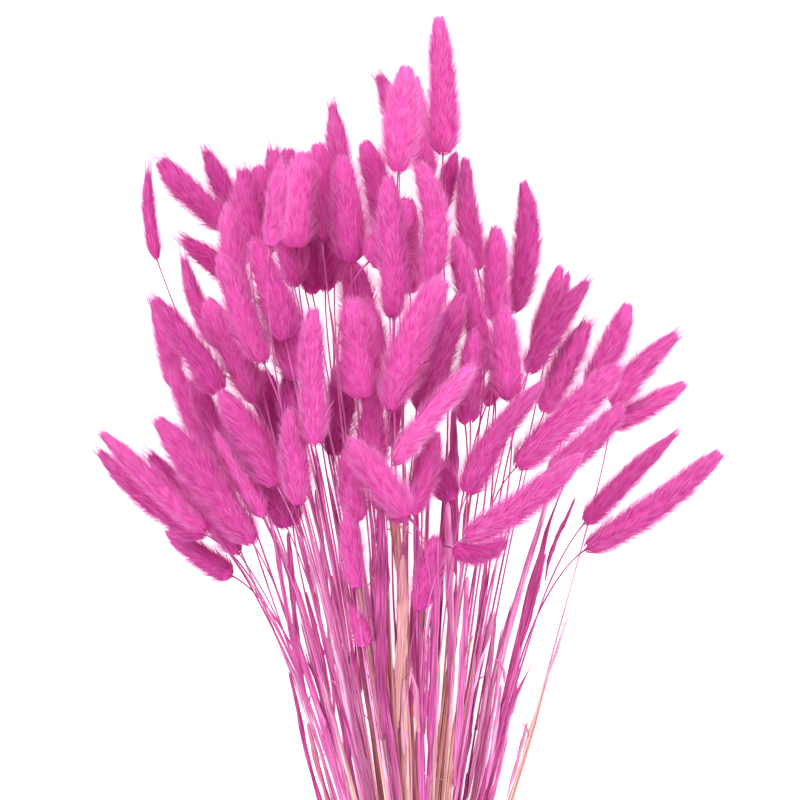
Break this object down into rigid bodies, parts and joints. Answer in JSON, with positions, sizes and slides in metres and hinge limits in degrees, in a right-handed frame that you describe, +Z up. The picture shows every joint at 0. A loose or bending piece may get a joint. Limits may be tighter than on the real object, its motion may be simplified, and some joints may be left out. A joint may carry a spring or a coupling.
{
  "type": "dried bunny tail grass bunch",
  "caption": "Tied bunch of dried, magenta-dyed bunny tail grass: soft furry heads on thin cut stems, lying on a surface.",
  "frame": {"origin": "middle of the bunch's box, on the surface that it lies on", "axes": "+Y along the bunch from the cut ends to the heads, +X across it to the right as seen from above, +Z up"},
  "size_m": [0.3106, 0.5534, 0.1502],
  "materials": {
    "dyed_grass": "matte",
    "twine": "matte"
  },
  "bodies": {
    "root": {"row_1_tuft_1": "dyed_grass", "row_1_tuft_2": "dyed_grass", "row_1_tuft_3": "dyed_grass", "row_2_tuft_1": "dyed_grass", "row_2_tuft_2": "dyed_grass", "row_2_tuft_3": "dyed_grass", "row_2_tuft_4": "dyed_grass", "row_3_tuft_1": "dyed_grass", "row_3_tuft_2": "dyed_grass", "row_3_tuft_3": "dyed_grass", "row_3_tuft_4": "dyed_grass", "row_3_tuft_5": "dyed_grass", "row_4_tuft_1": "dyed_grass", "row_4_tuft_2": "dyed_grass", "row_4_tuft_3": "dyed_grass", "row_4_tuft_4": "dyed_grass", "row_4_tuft_5": "dyed_grass", "row_5_tuft_1": "dyed_grass", "row_5_tuft_2": "dyed_grass", "row_5_tuft_3": "dyed_grass", "row_5_tuft_4": "dyed_grass", "row_5_tuft_5": "dyed_grass", "row_6_tuft_1": "dyed_grass", "row_6_tuft_2": "dyed_grass", "row_6_tuft_3": "dyed_grass", "row_6_tuft_4": "dyed_grass", "row_6_tuft_5": "dyed_grass", "row_6_tuft_6": "dyed_grass", "row_7_tuft_1": "dyed_grass", "row_7_tuft_2": "dyed_grass", "row_7_tuft_3": "dyed_grass", "row_7_tuft_4": "dyed_grass", "row_7_tuft_5": "dyed_grass", "row_8_tuft_1": "dyed_grass", "row_8_tuft_2": "dyed_grass", "row_8_tuft_3": "dyed_grass", "row_8_tuft_4": "dyed_grass", "row_8_tuft_5": "dyed_grass", "row_9_tuft_1": "dyed_grass", "row_9_tuft_2": "dyed_grass", "row_9_tuft_3": "dyed_grass", "row_9_tuft_4": "dyed_grass", "row_9_tuft_5": "dyed_grass", "row_10_tuft_1": "dyed_grass", "row_10_tuft_2": "dyed_grass", "row_10_tuft_3": "dyed_grass", "row_10_tuft_4": "dyed_grass", "row_11_tuft_1": "dyed_grass", "row_11_tuft_2": "dyed_grass", "row_11_tuft_3": "dyed_grass", "twine_tie": "twine"}
  },
  "joints": []
}
